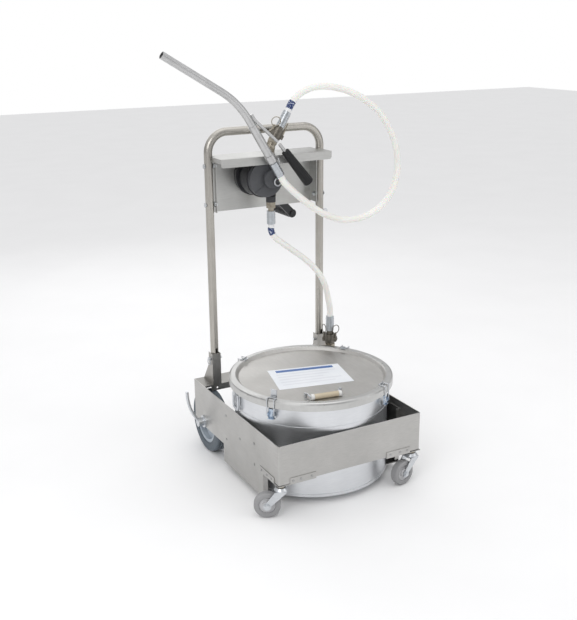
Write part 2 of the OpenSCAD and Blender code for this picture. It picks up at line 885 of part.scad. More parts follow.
module rear_rim(x) {
    place() color([0.7, 0.74, 0.78]) translate([x, axle_y, wheel_r]) rotate([0, 90, 0])
        rotate_extrude($fn = 96) {
            translate([axle_r + 0.05, -22]) square([14, 44]);
            translate([20, -4]) square([44, 8]);
            translate([62, -19]) square([10, 38]);
        }
}

module rear_rim_left() {
    rear_rim(-wheel_x);
}

module rear_rim_right() {
    rear_rim(wheel_x);
}

// Swivel fork seen with its trail along +X
module caster_fork(x, angle) {
    place() color("silver") translate([x, caster_y, 0]) rotate([0, 0, angle]) difference() {
        union() {
            translate([0, 0, 79]) cylinder(r = 19, h = 6);
            translate([0, 0, 85]) cylinder(r1 = 19, r2 = 14, h = 7);
            for (s = [-1, 1]) sheet_y(s * 16.75 - 1.25, 2.5) union() {
                translate([trail, caster_r]) circle(11);
                polygon([[-14, 79], [-14, 82], [17, 82], [trail + 10.8, caster_r + 2],
                    [trail - 8, caster_r - 7.5], [trail - 10.9, caster_r + 1.5]]);
            }
            block([-14, -18, 79], [17, 18, 82]);
            rod_y(9, 17, 20, trail, caster_r);
            rod_y(9, -20, -17, trail, caster_r);
        }
        translate([0, 0, 70]) cylinder(r = 6.05, h = 40);
        rod_y(4, -25, 25, trail, caster_r);
    }
}

// Axle bolt of a caster
module caster_bolt(x, angle) {
    place() color("gray") translate([x, caster_y, 0]) rotate([0, 0, angle]) {
        rod_y(4, -20, 20, trail, caster_r);
        rod_y(6.5, 20, 22.5, trail, caster_r);
        rod_y(6.5, -22.5, -20, trail, caster_r);
    }
}

module caster_fork_left() {
    caster_fork(-caster_x, caster_angle_left);
    caster_bolt(-caster_x, caster_angle_left);
}

module caster_fork_right() {
    caster_fork(caster_x, caster_angle_right);
    caster_bolt(caster_x, caster_angle_right);
}

module caster_wheel(x, angle) {
    place() color([0.62, 0.62, 0.63]) translate([x, caster_y, 0]) rotate([0, 0, angle])
        translate([trail, 0, caster_r]) rotate([90, 0, 0]) rotate_extrude($fn = 96) union() {
            translate([4.05, -14.5]) square([9, 29]);
            translate([10, -6]) square([15, 12]);
            difference() {
                rounded([22, -12], [caster_r, 12], 5);
                translate([15, -20]) square([8, 40]);
            }
        }
}

module caster_wheel_left() {
    caster_wheel(-caster_x, caster_angle_left);
}

module caster_wheel_right() {
    caster_wheel(caster_x, caster_angle_right);
}

// Swivel stems with the nuts above and below the bracket's shelf
module caster_stems() {
    place() color([0.5, 0.42, 0.3]) for (s = [-1, 1]) translate([s * caster_x, caster_y, 0]) {
        translate([0, 0, 79]) cylinder(r = 6, h = 33);
        translate([0, 0, 93]) cylinder(r = 11, h = 9);
        translate([0, 0, 104]) cylinder(r = 10, h = 7, $fn = 6);
    }
}

// ---- wand and small parts ----

// Open pipe of the wand with its sleeve and swivel hex, and the branch rod welded along its side
module wand_tube() {
    low_l = 124;
    high_l = 204;
    place() color([0.8, 0.8, 0.8]) {
        difference() {
            union() {
                translate(wand_low) rotate([0, -wand_tilt, 0]) {
                    run([[low_l, 250, wand_bend], [high_l]], 11);
                    cylinder(r = 12.7, h = 107);
                }
                below_wand(-3) cylinder(r = 15, h = 23);
                below_wand(20) cylinder(r = 9, h = 24);
            }
            translate(wand_low) rotate([0, -wand_tilt, 0])
                run([[low_l, 250, wand_bend], [high_l + 1]], 9);
            below_wand(-1) cylinder(r = 6, h = 50);
        }
        translate([-102.3, wand_y, 1079]) rotate([0, 149, 0]) run([[14, 40, 17], [94, 60, -9], [30]], 5);
    }
}

module wand_grip() {
    place() color([0.06, 0.06, 0.06]) translate([7.2, wand_y, 966]) rotate([0, 141, 0]) difference() {
        cylinder(r1 = 12.5, r2 = 17, h = 132);
        translate([0, 0, -1]) cylinder(r = 5.3, h = 20);
    }
}

// Ring, swivel body and hook that hang from the hole in the shelf's lip
module snap_hook() {
    place() color("silver") translate([-5, 0, 0]) {
        translate([0, 428.5, 931]) rotate([0, 90, 0]) rotate_extrude() translate([11, 0]) circle(1.6);
        translate([0, 427, 884]) cylinder(r = 4.5, h = 37);
        translate([0, 427, 871]) rotate([90, 0, 0]) rotate_extrude() translate([11, 0]) circle(2.4);
    }
}

// Quick-release pin through a leg and its bracket, with a hanging pull ring
module handle_pin() {
    end = leg_x + tube_r + 7;
    rod_x(4, -end, -leg_x + 22, leg_y, pin_z);
    rod_x(6, -end - 2, -leg_x - tube_r - 2, leg_y, pin_z);
    translate([-end - 0.5, leg_y, pin_z - 10]) rotate([0, 90, 0])
        rotate_extrude() translate([10, 0]) circle(1.2);
}

module handle_pin_left() {
    place() color("silver") handle_pin();
}

module handle_pin_right() {
    place() color("silver") mirror([1, 0, 0]) handle_pin();
}

cart_wrap();
corner_brackets();
drum_cradle();
rear_channel();
rear_axle();
axle_end_caps();
axle_hooks();
leg_brackets();
frame_rivets();
handle_tube();
pump_panel();
panel_bolts();
pump_body();
pump_cover();
outlet_pipe();
pump_inlet();
cam_adapters();
cam_couplers();
hose_ferrules();
caster_stems();
drum_shell();
drum_ears();
latch_bases();
riser_pipe();
snap_hook();
discharge_hose();
suction_hose();
rear_tyre_left();
rear_tyre_right();
rear_rim_left();
rear_rim_right();
caster_fork_left();
caster_fork_right();
caster_wheel_left();
caster_wheel_right();
lid();
lid_gasket();
lid_fittings();
lid_handle();
latch_lever_rear_right();
latch_lever_rear_left();
latch_lever_front_left();
latch_lever_front_right();
latch_bail_rear_right();
latch_bail_rear_left();
latch_bail_front_left();
latch_bail_front_right();
drum_ring_left();
drum_ring_right();
pump_rotor();
crank_arm();
crank_grip();
wand_tube();
wand_grip();
handle_pin_left();
handle_pin_right();
cam_arm_outlet_left();
cam_arm_outlet_right();
cam_arm_suction_left();
cam_arm_suction_right();
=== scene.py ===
import math

import bpy
from mathutils import Matrix, Vector


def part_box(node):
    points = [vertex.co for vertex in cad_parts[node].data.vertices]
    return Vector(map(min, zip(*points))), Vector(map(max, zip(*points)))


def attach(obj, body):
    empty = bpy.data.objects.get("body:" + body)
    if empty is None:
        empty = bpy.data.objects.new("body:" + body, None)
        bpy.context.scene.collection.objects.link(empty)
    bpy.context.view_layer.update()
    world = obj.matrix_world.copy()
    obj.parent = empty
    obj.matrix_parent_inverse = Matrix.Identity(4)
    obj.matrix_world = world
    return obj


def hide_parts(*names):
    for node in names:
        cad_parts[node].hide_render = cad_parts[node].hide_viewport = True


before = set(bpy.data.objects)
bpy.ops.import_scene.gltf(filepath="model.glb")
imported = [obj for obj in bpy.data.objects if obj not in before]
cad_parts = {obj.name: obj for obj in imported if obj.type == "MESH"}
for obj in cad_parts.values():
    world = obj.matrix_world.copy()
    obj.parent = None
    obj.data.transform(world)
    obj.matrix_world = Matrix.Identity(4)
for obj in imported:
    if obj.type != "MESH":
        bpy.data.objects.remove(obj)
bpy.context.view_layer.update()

MM = 0.001


# The cart's own origin: on the floor, on the centreline, at the outer face of the front plate.
wrap_low, wrap_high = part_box("cart_wrap")
CART = Vector(((wrap_low.x + wrap_high.x) / 2, wrap_low.y, 0))


def cart(x, y, z):
    """A point given in millimetres from the cart's own origin."""
    return CART + Vector((x, y, z)) * MM


# ---------------------------------------------------------------- camera

CAMERA_AT = cart(-1308.2, -2037.0, 1342.8)
AZIMUTH, PITCH, ROLL = (math.radians(v) for v in (-28.461, 17.487, -0.466))
# The image is taller than wide, so the sensor's size spans its height.
IMAGE_HEIGHT = 620
FOCAL_PER_HEIGHT = 925.8 / IMAGE_HEIGHT
SENSOR = 36.0


def make_camera():
    """A camera at the product view's place and angle."""
    level = Vector((math.cos(AZIMUTH), math.sin(AZIMUTH), 0))
    ahead = Vector((-math.sin(AZIMUTH), math.cos(AZIMUTH), 0))
    forward = ahead * math.cos(PITCH) - Vector((0, 0, math.sin(PITCH)))
    lift = level.cross(forward)
    right = math.cos(ROLL) * level + math.sin(ROLL) * lift
    up = math.cos(ROLL) * lift - math.sin(ROLL) * level
    data = bpy.data.cameras.new("camera")
    data.sensor_width = SENSOR
    data.lens = SENSOR * FOCAL_PER_HEIGHT
    data.clip_end = 60
    camera = bpy.data.objects.new("camera", data)
    turn = Matrix((right, up, -forward)).transposed().to_4x4()
    camera.matrix_world = Matrix.Translation(CAMERA_AT) @ turn
    bpy.context.scene.collection.objects.link(camera)
    bpy.context.scene.camera = camera


make_camera()

# ---------------------------------------------------------------- mesh helpers


def add_mesh(name, verts, faces, body, slot):
    """A smooth piece from its points and faces, riding on a body."""
    mesh = bpy.data.meshes.new(name)
    mesh.from_pydata([tuple(v) for v in verts], [], faces)
    mesh.update()
    mesh.validate()
    for polygon in mesh.polygons:
        polygon.use_smooth = True
    piece = bpy.data.objects.new(name, mesh)
    bpy.context.scene.collection.objects.link(piece)
    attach(piece, body)
    return piece


def across(direction):
    """Two unit vectors square to a direction."""
    guide = Vector((0, 1, 0)) if abs(direction.y) < 0.9 else Vector((1, 0, 0))
    side = direction.cross(guide).normalized()
    return side, direction.cross(side).normalized()


def join_rings(rings, count, closed_loop=False):
    """Faces between rings of equal point counts, with a face over each end unless they form a loop."""
    faces = []
    last = rings if closed_loop else rings - 1
    for i in range(last):
        for j in range(count):
            k, m = (j + 1) % count, (i + 1) % rings
            faces.append((i * count + j, i * count + k, m * count + k, m * count + j))
    if not closed_loop:
        faces.append(tuple(reversed(range(count))))
        faces.append(tuple(range((rings - 1) * count, rings * count)))
    return faces


def lathe(outline, at, direction, sides=48, shape=None, closed=False):
    """Points and faces of an outline of (along, radius) turned about a line.
    shape, if given, changes a radius by angle: shape(along, radius, angle)."""
    side, other = across(direction)
    verts = []
    for along, radius in outline:
        for j in range(sides):
            angle = 2 * math.pi * j / sides
            r = shape(along, radius, angle) if shape else radius
            verts.append(at + direction * along + (side * math.cos(angle) + other * math.sin(angle)) * r)
    return verts, join_rings(len(outline), sides, closed_loop=closed)


def sweep(path, radius, sides):
    """Points and faces of a round bar along a path."""
    verts = []
    count = len(path)
    for i, point in enumerate(path):
        before, after = path[max(i - 1, 0)], path[min(i + 1, count - 1)]
        side, other = across((after - before).normalized())
        for j in range(sides):
            angle = 2 * math.pi * j / sides
            verts.append(point + (side * math.cos(angle) + other * math.sin(angle)) * radius)
    return verts, join_rings(count, sides)


def merge(parts):
    """One list of points and faces from several."""
    verts, faces = [], []
    for part_verts, part_faces in parts:
        start = len(verts)
        verts.extend(part_verts)
        faces.extend(tuple(start + v for v in face) for face in part_faces)
    return verts, faces


def smooth_route(points, steps):
    """A smooth curve through the route's points."""
    out = []
    for i in range(len(points) - 1):
        a, b = points[max(i - 1, 0)], points[i]
        c, d = points[i + 1], points[min(i + 2, len(points) - 1)]
        for k in range(steps):
            t = k / steps
            out.append(0.5 * (2 * b + (c - a) * t + (2 * a - 5 * b + 4 * c - d) * t * t
                              + (3 * b - a - 3 * c + d) * t ** 3))
    return out + [points[-1]]


# ---------------------------------------------------------------- cords

OUTLET = cart(-10, 468, 972)
OUTLET_TILT = math.radians(31)
OUTLET_AXIS = Vector((math.sin(OUTLET_TILT), 0, math.cos(OUTLET_TILT)))
WAND_LOW = cart(-45, 404, 954)
WAND_TILT = math.radians(31)
WAND_DOWN = Vector((math.sin(WAND_TILT), 0, -math.cos(WAND_TILT)))
PORT = (-9, 468)
RISER = (192, 445)
HOSE_R = 10.5 * MM
SUCTION_R = 9.5 * MM
HOSE_SIDES = 28

discharge_route = [
    OUTLET + OUTLET_AXIS * 0.118, OUTLET + OUTLET_AXIS * 0.126, OUTLET + OUTLET_AXIS * 0.143,
    cart(78, 467, 1113), cart(98, 465, 1128), cart(134, 462, 1142), cart(181, 459, 1144),
    cart(233, 456, 1135), cart(286, 452, 1116), cart(334, 449, 1087), cart(373, 446, 1055),
    cart(403, 443, 1012), cart(425, 438, 966), cart(436, 434, 914), cart(434, 430, 865),
    cart(418, 426, 817), cart(385, 422, 775), cart(340, 419, 746), cart(284, 416, 732),
    cart(220, 413, 733), cart(162, 410, 753), cart(117, 407, 778), cart(73, 405, 810),
    cart(34, 404, 843), WAND_LOW + WAND_DOWN * 0.095, WAND_LOW + WAND_DOWN * 0.078,
    WAND_LOW + WAND_DOWN * 0.07]
suction_route = [
    cart(*PORT, 735), cart(*PORT, 727), cart(*PORT, 712), cart(4, 467, 690), cart(32, 465, 667),
    cart(67, 461, 640), cart(107, 457, 608), cart(147, 452, 566), cart(174, 449, 518), cart(187, 446, 461),
    cart(*RISER, 432), cart(*RISER, 416), cart(*RISER, 408)]


def band(name, path, start, end, radius):
    """A printed band wrapped round a hose between two distances from its start."""
    kept, gone = [], 0.0
    for a, b in zip(path, path[1:]):
        if start <= gone <= end:
            kept.append(a)
        gone += (b - a).length
    verts, faces = sweep(kept, radius, HOSE_SIDES)
    return add_mesh(name, verts, faces, "cart", "hose_white")


def make_hose(name, route, radius, node, band_range, white_range):
    """A hose with its printed band and cuff, in place of the CAD hose."""
    path = smooth_route(route, 8)
    verts, faces = sweep(path, radius, HOSE_SIDES)
    hose = add_mesh(name, verts, faces, "cart", "hose_white")
    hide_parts(node)
    fine = smooth_route(route, 40)
    printed = band(name + "_band", fine, band_range[0], band_range[1], radius + 0.0004)
    cuff = band(name + "_cuff", fine, white_range[0], white_range[1], radius + 0.0003)
    return hose, printed, cuff


discharge, discharge_band, discharge_cuff = make_hose(
    "discharge_hose_tube", discharge_route, HOSE_R, "discharge_hose", (0.010, 0.036), (0.0, 0.009))
suction, suction_band, suction_cuff = make_hose(
    "suction_hose_tube", suction_route, SUCTION_R, "suction_hose", (0.012, 0.034), (0.0, 0.011))

# ---------------------------------------------------------------- materials


def new_material(name):
    """An empty node material with its shader."""
    mat = bpy.data.materials.new(name)
    mat.use_nodes = True
    shader = mat.node_tree.nodes["Principled BSDF"]
    return mat, mat.node_tree, shader


def noise(tree, scale, stretch=(1, 1, 1), detail=4.0, roughness=0.5):
    """A noise value in object space, stretched along the axes."""
    coord = tree.nodes.new("ShaderNodeTexCoord")
    mapping = tree.nodes.new("ShaderNodeMapping")
    mapping.inputs["Scale"].default_value = stretch
    texture = tree.nodes.new("ShaderNodeTexNoise")
    texture.inputs["Scale"].default_value = scale
    texture.inputs["Detail"].default_value = detail
    texture.inputs["Roughness"].default_value = roughness
    tree.links.new(coord.outputs["Object"], mapping.inputs["Vector"])
    tree.links.new(mapping.outputs["Vector"], texture.inputs["Vector"])
    return texture.outputs["Fac"]


def to_range(tree, value, low, high, from_low=0.3, from_high=0.7):
    """A value spread over a range."""
    node = tree.nodes.new("ShaderNodeMapRange")
    node.inputs["From Min"].default_value = from_low
    node.inputs["From Max"].default_value = from_high
    node.inputs["To Min"].default_value = low
    node.inputs["To Max"].default_value = high
    tree.links.new(value, node.inputs["Value"])
    return node.outputs["Result"]


def mix_colour(tree, value, first, second):
    """A colour between two, by a value. Each may be a colour or a socket."""
    node = tree.nodes.new("ShaderNodeMix")
    node.data_type = "RGBA"
    tree.links.new(value, node.inputs[0])
    for socket, colour in ((node.inputs[6], first), (node.inputs[7], second)):
        if isinstance(colour, (tuple, list)):
            socket.default_value = (*colour, 1)
        else:
            tree.links.new(colour, socket)
    return node.outputs[2]


def bump(tree, shader, height, strength, distance):
    """Fine relief from a height value."""
    node = tree.nodes.new("ShaderNodeBump")
    node.inputs["Strength"].default_value = strength
    node.inputs["Distance"].default_value = distance
    tree.links.new(height, node.inputs["Height"])
    tree.links.new(node.outputs["Normal"], shader.inputs["Normal"])


def brushed_metal(name, light, dark, rough, stretch, grain=60.0, relief=0.12):
    """Metal with a grain along the axis that the stretch leaves short, and soft handling marks."""
    mat, tree, shader = new_material(name)
    lines = noise(tree, grain, stretch, 6, 0.6)
    marks = noise(tree, 9, (1, 1, 1), 5, 0.6)
    base = mix_colour(tree, to_range(tree, lines, 0, 1), dark, light)
    worn = mix_colour(tree, to_range(tree, marks, 0.0, 0.35), base, tuple(0.82 * c for c in dark))
    tree.links.new(worn, shader.inputs["Base Color"])
    both = tree.nodes.new("ShaderNodeMath")
    both.operation = "ADD"
    tree.links.new(to_range(tree, lines, rough - 0.07, rough + 0.07), both.inputs[0])
    tree.links.new(to_range(tree, marks, -0.03, 0.08), both.inputs[1])
    tree.links.new(both.outputs[0], shader.inputs["Roughness"])
    shader.inputs["Metallic"].default_value = 1.0
    bump(tree, shader, lines, relief, 0.0004)
    return mat


def plain_finish(name, light, dark, rough, grain, relief, specular=0.5, sub=0.0):
    """Paint, plastic or rubber with a fine surface grain and slow colour change."""
    mat, tree, shader = new_material(name)
    fine = noise(tree, grain, (1, 1, 1), 5, 0.6)
    slow = noise(tree, 14, (1, 1, 1), 4, 0.5)
    tree.links.new(mix_colour(tree, to_range(tree, slow, 0, 1), dark, light), shader.inputs["Base Color"])
    tree.links.new(to_range(tree, fine, rough - 0.08, rough + 0.08), shader.inputs["Roughness"])
    shader.inputs["Specular IOR Level"].default_value = specular
    shader.inputs["Subsurface Weight"].default_value = sub
    shader.inputs["Subsurface Scale"].default_value = 0.004
    bump(tree, shader, fine, relief, 0.0005)
    return mat


# How a metal's grain is stretched along the three axes
ALONG_PLATE = (0.6, 0.6, 14)
UPRIGHT = (14, 14, 0.5)
ROUND_DRUM = (0.7, 0.7, 8)
ACROSS_LID = (3, 0.4, 1)
EVEN = (1, 1, 1)

MATERIALS = {
    "sheet": brushed_metal("brushed stainless sheet", (0.57, 0.56, 0.545), (0.45, 0.445, 0.43), 0.36,
                           ALONG_PLATE),
    # A darker copy of the sheet metal, with painted shade for the rear channel
    "shade_painted_sheet": brushed_metal("shaded stainless sheet", (0.40, 0.39, 0.375), (0.30, 0.295, 0.28), 0.4,
                                ALONG_PLATE),
    "post": brushed_metal("upright stainless", (0.50, 0.485, 0.46), (0.36, 0.35, 0.33), 0.36, UPRIGHT),
    "tube": brushed_metal("stainless tube", (0.56, 0.54, 0.50), (0.42, 0.40, 0.365), 0.3, UPRIGHT,
                          relief=0.06),
    "panel": brushed_metal("panel stainless", (0.60, 0.60, 0.585), (0.50, 0.50, 0.485), 0.38, ALONG_PLATE),
    "drum": brushed_metal("drum metal", (0.80, 0.815, 0.835), (0.72, 0.735, 0.76), 0.36, ROUND_DRUM,
                          relief=0.02),
    "lid": brushed_metal("lid metal", (0.585, 0.575, 0.555), (0.50, 0.49, 0.47), 0.4, ACROSS_LID, 50, 0.03),
    "rim_metal": brushed_metal("rolled rim metal", (0.62, 0.62, 0.61), (0.54, 0.54, 0.53), 0.32, EVEN,
                               relief=0.01),
    "zinc": brushed_metal("bright zinc", (0.70, 0.72, 0.74), (0.58, 0.60, 0.625), 0.32, EVEN, 120, 0.02),
    "blue_zinc": brushed_metal("blue zinc", (0.60, 0.68, 0.78), (0.42, 0.50, 0.60), 0.26, EVEN, 120, 0.05),
    "steel": brushed_metal("ground steel", (0.50, 0.50, 0.50), (0.36, 0.36, 0.36), 0.3, EVEN, 200, 0.05),
    "bronze": brushed_metal("aged nickel bronze", (0.50, 0.46, 0.39), (0.27, 0.24, 0.19), 0.34, EVEN,
                            90, 0.2),
    "dark_bronze": brushed_metal("dark bronze", (0.26, 0.24, 0.21), (0.12, 0.11, 0.095), 0.38, EVEN, 90, 0.2),
    "ferrule": brushed_metal("ferrule steel", (0.62, 0.65, 0.68), (0.46, 0.485, 0.51), 0.3, EVEN, 150, 0.05),
    "wand": brushed_metal("wand aluminium", (0.62, 0.62, 0.62), (0.52, 0.52, 0.52), 0.34, EVEN, 40, 0.015),
    "iron": plain_finish("black enamelled iron", (0.035, 0.036, 0.04), (0.016, 0.016, 0.018), 0.42, 300, 0.3),
    "cover": plain_finish("charcoal casting", (0.085, 0.088, 0.096), (0.055, 0.057, 0.062), 0.5, 260, 0.35),
    "grip": plain_finish("black moulding", (0.014, 0.014, 0.015), (0.008, 0.008, 0.009), 0.38, 400, 0.15,
                         specular=0.3),
    "hose": plain_finish("ivory hose", (0.90, 0.895, 0.86), (0.85, 0.84, 0.795), 0.42, 200, 0.08, sub=0.15),
    "cuff": plain_finish("white cuff", (0.86, 0.86, 0.86), (0.80, 0.80, 0.81), 0.45, 200, 0.05),
    "gasket": plain_finish("pale gasket", (0.72, 0.70, 0.64), (0.64, 0.62, 0.57), 0.6, 200, 0.2),
    "tyre": plain_finish("blue-grey tyre", (0.125, 0.15, 0.175), (0.095, 0.115, 0.135), 0.62, 220, 0.3),
    "rim": plain_finish("grey wheel centre", (0.48, 0.53, 0.58), (0.40, 0.45, 0.50), 0.45, 220, 0.15),
    "caster": plain_finish("grey caster moulding", (0.33, 0.33, 0.335), (0.27, 0.27, 0.275), 0.5, 220, 0.2),
    "hub": plain_finish("pale caster hub", (0.60, 0.60, 0.61), (0.54, 0.54, 0.55), 0.45, 220, 0.1),
    "barrel": plain_finish("cream barrel", (0.66, 0.58, 0.44), (0.55, 0.47, 0.34), 0.45, 160, 0.15),
    "paper": plain_finish("white paper label", (0.83, 0.85, 0.88), (0.76, 0.79, 0.83), 0.45, 120, 0.05),
    "header": plain_finish("blue label bar", (0.06, 0.16, 0.42), (0.04, 0.12, 0.34), 0.4, 120, 0.05),
    "print_grey": plain_finish("pale grey print", (0.74, 0.75, 0.79), (0.68, 0.70, 0.75), 0.45, 120, 0.05),
    "barrel_end": plain_finish("white barrel end", (0.82, 0.82, 0.80), (0.74, 0.74, 0.72), 0.45, 160, 0.1),
}


def band_material():
    """Navy print broken by a few pale flecks, with no lettering."""
    mat, tree, shader = new_material("navy print")
    flecks = noise(tree, 240, (1, 1, 1), 3, 0.6)
    navy, pale = (0.012, 0.03, 0.13), (0.62, 0.68, 0.78)
    colour = mix_colour(tree, to_range(tree, flecks, 0, 1, 0.56, 0.60), navy, pale)
    tree.links.new(colour, shader.inputs["Base Color"])
    shader.inputs["Roughness"].default_value = 0.4
    bump(tree, shader, noise(tree, 300), 0.1, 0.0003)
    return mat


MATERIALS["band"] = band_material()


def paint(piece, key):
    """Gives a piece one of the materials above."""
    piece.data.materials.clear()
    piece.data.materials.append(MATERIALS[key])
    return piece


LATCHES = ("rear_right", "rear_left", "front_left", "front_right")
SIDES = ("left", "right")
CAD_FINISH = {
    "sheet": ["cart_wrap", "corner_brackets", "drum_cradle"],
    # the rear channel gets the sheet metal darkened with painted shade
    "shade_painted_sheet": ["rear_channel"],
    "post": ["leg_brackets"],
    "panel": ["pump_panel"],
    "tube": ["handle_tube", "riser_pipe"],
    "drum": ["drum_shell"],
    "lid": ["lid"],
    "zinc": ["axle_end_caps", "axle_hooks", "panel_bolts", "drum_ears", "latch_bases", "lid_fittings",
             "snap_hook", "lid_handle"]
    + [f"latch_bail_{n}" for n in LATCHES] + [f"drum_ring_{n}" for n in SIDES]
    + [f"caster_fork_{n}" for n in SIDES] + [f"handle_pin_{n}" for n in SIDES],
    "blue_zinc": [f"latch_lever_{n}" for n in LATCHES],
    "steel": ["rear_axle", "frame_rivets", "pump_rotor"],
    "bronze": ["cam_adapters", "outlet_pipe", "pump_inlet", "caster_stems"]
    + [f"cam_arm_outlet_{n}" for n in SIDES],
    "dark_bronze": ["cam_couplers"] + [f"cam_arm_suction_{n}" for n in SIDES],
    "ferrule": ["hose_ferrules"],
    "wand": ["wand_tube"],
    "iron": ["pump_body", "crank_arm"],
    "cover": ["pump_cover"],
    "grip": ["crank_grip", "wand_grip"],
    "hose": ["discharge_hose", "suction_hose"],
    "gasket": ["lid_gasket"],
    "tyre": [f"rear_tyre_{n}" for n in SIDES],
    "rim": [f"rear_rim_{n}" for n in SIDES],
    "caster": [f"caster_wheel_{n}" for n in SIDES],
}
for finish, names in CAD_FINISH.items():
    for node_name in names:
        paint(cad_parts[node_name], finish)
for finish, pieces in (("hose", (discharge, suction)), ("band", (discharge_band, suction_band)),
                       ("cuff", (discharge_cuff, suction_cuff))):
    for piece in pieces:
        paint(piece, finish)

# ---------------------------------------------------------------- pieces

UP = Vector((0, 0, 1))
ALONG_X = Vector((1, 0, 0))
ALONG_Y = Vector((0, 1, 0))
DRUM_AXIS = cart(0, 238, 0)


def box_centre(node):
    """The middle of a CAD node's box."""
    low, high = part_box(node)
    return (low + high) / 2


def rounded_profile(inner, outer, half, corner, grooves=()):
    """Closed (along, radius) outline of a ring with rounded outer corners and grooves round its tread."""
    outline = [(-half, inner)]
    for k in range(7):
        a = math.pi / 2 * k / 6
        outline.append((-half + corner - corner * math.cos(a), outer - corner + corner * math.sin(a)))
    for middle, width, depth in grooves:
        for step, sink in ((-width, 0), (-width * 0.6, depth), (width * 0.6, depth), (width, 0)):
            outline.append((middle + step, outer - sink))
    for k in range(7):
        a = math.pi / 2 * (1 - k / 6)
        outline.append((half - corner + corner * math.cos(a), outer - corner + corner * math.sin(a)))
    outline.append((half, inner))
    return outline


def make_tyres():
    """Tyres with moulded grooves round the tread and a raised bead on each wall."""
    tread_depth, groove_pitch = 29 * MM, 9 * MM
    for side in SIDES:
        node = "rear_tyre_" + side
        low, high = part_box(node)
        half = (high.x - low.x) / 2
        outer = (high.z - low.z) / 2
        grooves = [(k * groove_pitch, 1.4 * MM, 1.6 * MM) for k in (-1, 0, 1)]
        verts, faces = lathe(rounded_profile(outer - tread_depth, outer, half, 8 * MM, grooves),
                             box_centre(node), ALONG_X, 96, closed=True)
        tyre = add_mesh("tyre_" + side, verts, faces, "rear_wheel_" + side, "tyre_rubber")
        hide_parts(node)
        paint(tyre, "tyre")
        for end in (-1, 1):
            bead = lathe(rounded_profile(outer - 13 * MM, outer - 10 * MM, 0.6 * MM, 0.5 * MM),
                         box_centre(node) + ALONG_X * end * (half - 0.2 * MM), ALONG_X, 96, closed=True)
            name = f"tyre_bead_{side}_{'in' if end < 0 else 'out'}"
            paint(add_mesh(name, *bead, "rear_wheel_" + side, "tyre_rubber"), "tyre")


def make_gasket():
    """A soft round-cornered ring between the drum and its lid."""
    low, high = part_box("lid_gasket")
    outer, half = (high.x - low.x) / 2, (high.z - low.z) / 2
    width, corner = 12 * MM, 2.5 * MM
    profile = rounded_profile(outer - width, outer, half, corner)
    verts, faces = lathe(profile, box_centre("lid_gasket"), UP, 128, closed=True)
    gasket = add_mesh("gasket_ring", verts, faces, "lid", "gasket_rubber")
    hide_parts("lid_gasket")
    paint(gasket, "gasket")


def make_wand_grip():
    """A tapered grip with rounded ends and flutes along it."""
    at, length = cart(7.2, 404, 966), 132 * MM
    tilt = math.radians(141)
    direction = Vector((math.sin(tilt), 0, math.cos(tilt)))
    narrow, wide, flute, flutes = 12.5 * MM, 17 * MM, 0.9 * MM, 16
    plain_end, run_in = 0.012, 0.006

    def fluted(along, radius, angle):
        fade = min(1, max(0, min(along - plain_end, length - plain_end - along) / run_in))
        return radius - flute * fade * (0.5 - 0.5 * math.cos(flutes * angle)) ** 2

    outline = [(0.0005, 0.0001), (0.0005, narrow - 0.003)]
    steps = 40
    for k in range(steps + 1):
        t = k / steps
        along = 0.002 + (length - 0.006) * t
        outline.append((along, narrow + (wide - narrow) * along / length - 0.0003))
    outline += [(length - 0.0015, wide - 0.0025), (length - 0.0002, wide - 0.007),
                (length - 0.0002, 0.0001)]
    verts, faces = lathe(outline, at, direction, 192, fluted)
    grip = add_mesh("wand_grip_fluted", verts, faces, "wand", "black_grip")
    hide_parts("wand_grip")
    paint(grip, "grip")


def make_crank_grip():
    """A round grip with ribs round it and domed ends."""
    low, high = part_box("crank_grip")
    radius = (high.x - low.x) / 2
    length = high.y - low.y
    start = Vector(((low.x + high.x) / 2, low.y, (low.z + high.z) / 2))
    bore, plain_end, rib = 0.0055, 0.012, 0.0095
    outline = [(0.0, bore), (0.0, radius - 0.003), (0.0015, radius - 0.0008), (0.006, radius)]
    count = int((length - 2 * plain_end) / rib)
    for k in range(count):
        place = plain_end + k * rib
        outline += [(place, radius), (place + 0.0012, radius - 0.0012),
                    (place + 0.0028, radius - 0.0012), (place + 0.004, radius)]
    outline += [(length - 0.006, radius), (length - 0.0015, radius - 0.0008),
                (length, radius - 0.003), (length, bore)]
    verts, faces = lathe(outline, start, ALONG_Y, 64, closed=True)
    grip = add_mesh("crank_grip_ribbed", verts, faces, "crank_grip", "black_grip")
    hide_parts("crank_grip")
    paint(grip, "grip")


def make_handle_barrel():
    """The lid handle's ribbed sleeve and its two white ends."""
    turn = math.radians(-9)
    direction = Vector((math.cos(turn), math.sin(turn), 0))
    at = cart(-51, 60, 318.3)
    radius = 7.7 * MM
    outline = [(-37 * MM, radius - 0.5 * MM)]
    for k in range(15):
        middle = (-35 + 5 * k) * MM
        outline += [(middle - 1.9 * MM, radius - 0.15 * MM), (middle - 1.2 * MM, radius + 0.35 * MM),
                    (middle + 1.2 * MM, radius + 0.35 * MM), (middle + 1.9 * MM, radius - 0.15 * MM)]
    outline.append((37 * MM, radius - 0.5 * MM))
    verts, faces = lathe(outline, at, direction, 40)
    paint(add_mesh("lid_handle_sleeve", verts, faces, "lid_handle", "handle_barrel"), "barrel")
    for end in (-1, 1):
        cap = [(37.2 * MM, 7.2 * MM), (37.5 * MM, 8.3 * MM), (44.5 * MM, 8.5 * MM),
               (46.3 * MM, 7.6 * MM), (46.6 * MM, 5.5 * MM)]
        verts, faces = lathe(cap, at, direction * end, 40)
        name = f"lid_handle_end_{'a' if end < 0 else 'b'}"
        paint(add_mesh(name, verts, faces, "lid_handle", "handle_barrel"), "barrel_end")


